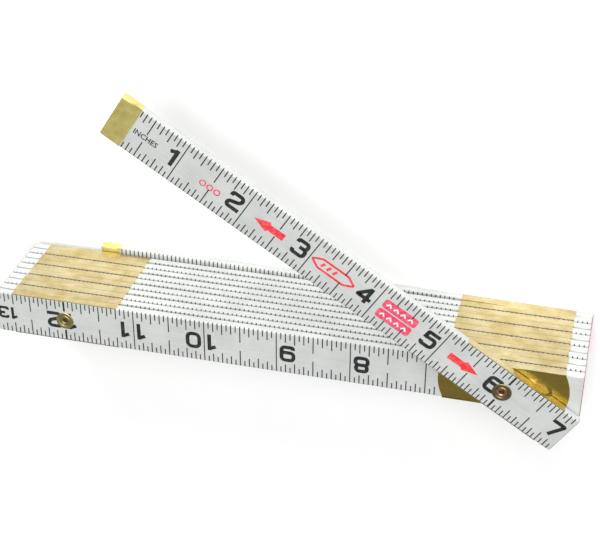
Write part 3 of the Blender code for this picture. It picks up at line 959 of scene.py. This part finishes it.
tube_top = STICK_PITCH + STICK_THICKNESS + DISC_PROUD
head_low = -DISC_PROUD
RIVET_PROFILE = [
    (0.0, head_low),
    (HEAD_RADIUS - 0.9 * MM, head_low + 0.01 * MM),
    (HEAD_RADIUS - 0.3 * MM, head_low + 0.06 * MM),
    (HEAD_RADIUS - 0.08 * MM, head_low + 0.14 * MM),
    (HEAD_RADIUS, head_low + 0.26 * MM),
    (HEAD_RADIUS, head_low + DISC_THICKNESS),
    (SHANK_RADIUS, head_low + DISC_THICKNESS),
    (SHANK_RADIUS, tube_top - ROLL_HEIGHT),
    (ROLL_RADIUS - 0.06 * MM, tube_top - 0.24 * MM),
    (ROLL_RADIUS, tube_top - 0.16 * MM),
    (ROLL_RADIUS - 0.08 * MM, tube_top - 0.07 * MM),
    (ROLL_RADIUS - 0.3 * MM, tube_top - 0.01 * MM),
    (ROLL_RADIUS - 0.55 * MM, tube_top),
    (ROLL_RADIUS - 0.85 * MM, tube_top - 0.05 * MM),
    (BORE_RADIUS + 0.12 * MM, tube_top - 0.2 * MM),
    (BORE_RADIUS, tube_top - 0.45 * MM),
    (BORE_RADIUS, tube_top - BORE_DEPTH),
    (0.0, tube_top - BORE_DEPTH - 0.3 * MM),
]
WASHER_PROFILE = [
    (SHANK_RADIUS + 0.25 * MM, 0.0),
    (HEAD_RADIUS - 0.1 * MM, 0.0),
    (HEAD_RADIUS, 0.1 * MM),
    (HEAD_RADIUS, DISC_THICKNESS - 0.16 * MM),
    (HEAD_RADIUS - 0.08 * MM, DISC_THICKNESS - 0.05 * MM),
    (HEAD_RADIUS - 0.25 * MM, DISC_THICKNESS),
    (ROLL_RADIUS + 0.45 * MM, DISC_THICKNESS - 0.01 * MM),
    (ROLL_RADIUS + 0.2 * MM, DISC_THICKNESS - 0.08 * MM),
    (SHANK_RADIUS + 0.25 * MM, DISC_THICKNESS - 0.2 * MM),
]
for joint in range(1, STICK_COUNT):
    rivet_place = places[joint + 1] @ Matrix.Translation((PIVOT_SPACING, 0.0, 0.0))
    rivet = finish_mesh(
        turned_mesh(RIVET_PROFILE, False), f"copper_rivet_{joint:02d}", rivet_place,
        [rivet_copper if joint == 1 else rivet_brass],
    )
    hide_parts(f"rivet_{joint:02d}")
    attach(rivet, f"section_{joint + 1:02d}")
    washer_foot = STICK_THICKNESS + DISC_PROUD - DISC_THICKNESS
    washer_place = places[joint] @ Matrix.Translation((0.0, 0.0, washer_foot))
    washer = finish_mesh(
        turned_mesh(WASHER_PROFILE, True), f"bronze_washer_{joint:02d}", washer_place,
        [washer_bronze if joint == 1 else washer_brass],
    )
    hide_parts(f"spring_washer_{joint:02d}")
    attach(washer, f"section_{joint:02d}")


# -----------------------------------------------------------------------------------------------------------
# End caps. A strip of satin brass is folded into a sleeve, closed over the sawn end, and pressed on at each
# end of the rule to guard the wood.
# -----------------------------------------------------------------------------------------------------------

CAP_CORNER = 0.42 * MM
CAP_CORNER_STEPS = 4
CAP_SHEET = SHEET * 0.7


def satin_brass(name, turn):
    """Brass finished on a fine belt: even satin, with short scratches across the stick."""
    material, shader = new_material(name)
    link = material.node_tree.links.new
    place = add_node(material, "ShaderNodeTexCoord").outputs["Object"]
    along = add_node(
        material, "ShaderNodeMapping", {"vector_type": "TEXTURE"}, Vector=place, Rotation=(0.0, 0.0, turn)
    ).outputs["Vector"]
    # Belt lines 0.3 mm apart, running across the stick
    belt_place = add_node(
        material, "ShaderNodeMapping", Vector=along, Scale=(1 / 0.0003, 1 / 0.008, 1 / 0.008)
    ).outputs["Vector"]
    belt = add_node(
        material, "ShaderNodeTexNoise", Vector=belt_place, Scale=1.0, Detail=3.0, Roughness=0.6
    ).outputs["Fac"]
    cloud = add_node(
        material, "ShaderNodeTexNoise", Vector=along, Scale=1 / 0.003, Detail=4.0
    ).outputs["Fac"]
    tone = add_node(material, "ShaderNodeValToRGB", Fac=cloud)
    tone.color_ramp.elements[0].position = 0.32
    tone.color_ramp.elements[0].color = linear("#DCCB78")
    tone.color_ramp.elements[1].position = 0.66
    tone.color_ramp.elements[1].color = linear("#F0E298")
    link(tone.outputs["Color"], shader.inputs["Base Color"])
    shader.inputs["Metallic"].default_value = 1.0
    rough = add_node(material, "ShaderNodeMapRange", Value=belt, _1=0.3, _2=0.7, _3=0.58, _4=0.46)
    link(rough.outputs["Result"], shader.inputs["Roughness"])
    bump = add_node(material, "ShaderNodeBump", Strength=0.3, Distance=0.00002, Height=belt)
    link(bump.outputs["Normal"], shader.inputs["Normal"])
    return material


def cap_mesh():
    """A sleeve closed at x = 0 and open towards +x."""
    bm = bmesh.new()
    height = STICK_THICKNESS + 2 * FACE_PROUD
    bmesh.ops.create_cube(bm, size=1.0)
    bmesh.ops.scale(bm, vec=(CAP_LENGTH, 2 * PLATE_HALF_WIDTH, height), verts=bm.verts)
    bmesh.ops.translate(bm, vec=(CAP_LENGTH / 2, 0.0, STICK_THICKNESS / 2), verts=bm.verts)
    mouth = [f for f in bm.faces if f.normal.x > 0.5]
    folded = [e for e in bm.edges if not any(f in mouth for f in e.link_faces)]
    bmesh.ops.delete(bm, geom=mouth, context="FACES_ONLY")
    bmesh.ops.bevel(
        bm, geom=folded, offset=CAP_CORNER, segments=CAP_CORNER_STEPS, profile=0.5,
        affect="EDGES", material=-1,
    )
    bmesh.ops.recalc_face_normals(bm, faces=bm.faces)
    closed_end = min(bm.faces, key=lambda f: f.calc_center_median().x)
    if closed_end.normal.x > 0:
        bmesh.ops.reverse_faces(bm, faces=bm.faces)
    bmesh.ops.solidify(bm, geom=bm.faces[:], thickness=CAP_SHEET)
    return bm


for node, number, seat in (
    ("end_cap_72_inch", STICK_COUNT, Matrix.Identity(4)),
    ("end_cap_zero", 1, Matrix.Translation((PIVOT_SPACING, 0.0, 0.0)) @ Matrix.Rotation(math.pi, 4, "Z")),
):
    brass = satin_brass(f"satin brass, {node}", turn_of(number))
    cap = finish_mesh(cap_mesh(), f"brass_{node}", places[number] @ seat, [brass])
    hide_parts(node)
    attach(cap, f"section_{number:02d}")


# -----------------------------------------------------------------------------------------------------------
# Table, light and camera. A pale matt table, two large soft lights on the side to which the first stick
# opens, one high and one low, and a camera above that side, turned so that it is uppermost in the view.
# -----------------------------------------------------------------------------------------------------------

TABLE_SIZE = 6.0
TABLE_GLOW = 0.06
SKY_STRENGTH = 0.32
FOCAL_LENGTH = 81.43  # in mm
NEAREST_SEEN = 0.01
CAMERA_PLACE = (0.1003, 0.2608, 0.4008)
CAMERA_TURN = (-31.33, 14.37, 0.135)  # in degrees


def pale_table():
    """Matt white laminate with a faint mottle."""
    material, shader = new_material("pale matt table")
    link = material.node_tree.links.new
    place = add_node(material, "ShaderNodeTexCoord").outputs["Object"]
    mottle = add_node(
        material, "ShaderNodeTexNoise", Vector=place, Scale=1 / 0.05, Detail=3.0
    ).outputs["Fac"]
    tone = add_node(material, "ShaderNodeValToRGB", Fac=mottle)
    tone.color_ramp.elements[0].color = linear("#F4F4F3")
    tone.color_ramp.elements[1].color = linear("#F8F8F7")
    link(tone.outputs["Color"], shader.inputs["Base Color"])
    shader.inputs["Roughness"].default_value = 0.8
    # A little light of its own, as a table lit from behind has
    shader.inputs["Emission Color"].default_value = linear("#FFFFFF")
    shader.inputs["Emission Strength"].default_value = TABLE_GLOW
    return material


bm = bmesh.new()
bmesh.ops.create_grid(bm, x_segments=1, y_segments=1, size=TABLE_SIZE / 2)
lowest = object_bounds()[0].z
table = finish_mesh(bm, "table", Matrix.Translation((0.0, 0.0, lowest)), [pale_table()])

world = bpy.data.worlds.new("studio")
bpy.context.scene.world = world
world.use_nodes = True
sky = world.node_tree.nodes["Background"]
sky.inputs["Color"].default_value = linear("#F6F8FA")
sky.inputs["Strength"].default_value = SKY_STRENGTH

for light_name, spot, size, power in (
    ("overhead softbox", (0.70, 1.60, 3.60), 2.8, 150.0),
    ("low softbox", (-0.50, 3.80, 1.20), 2.2, 120.0),
):
    lamp = bpy.data.lights.new(light_name, "AREA")
    lamp.size = size
    lamp.energy = power
    holder = bpy.data.objects.new(light_name, lamp)
    holder.location = spot
    holder.rotation_euler = (-Vector(spot)).to_track_quat("-Z", "Y").to_euler()
    bpy.context.scene.collection.objects.link(holder)

lens = bpy.data.cameras.new("camera")
lens.lens = FOCAL_LENGTH
lens.clip_start = NEAREST_SEEN
camera = bpy.data.objects.new("camera", lens)
camera.location = CAMERA_PLACE
camera.rotation_euler = [math.radians(angle) for angle in CAMERA_TURN]
bpy.context.scene.collection.objects.link(camera)
bpy.context.scene.camera = camera
bpy.context.scene.view_settings.view_transform = "Standard"
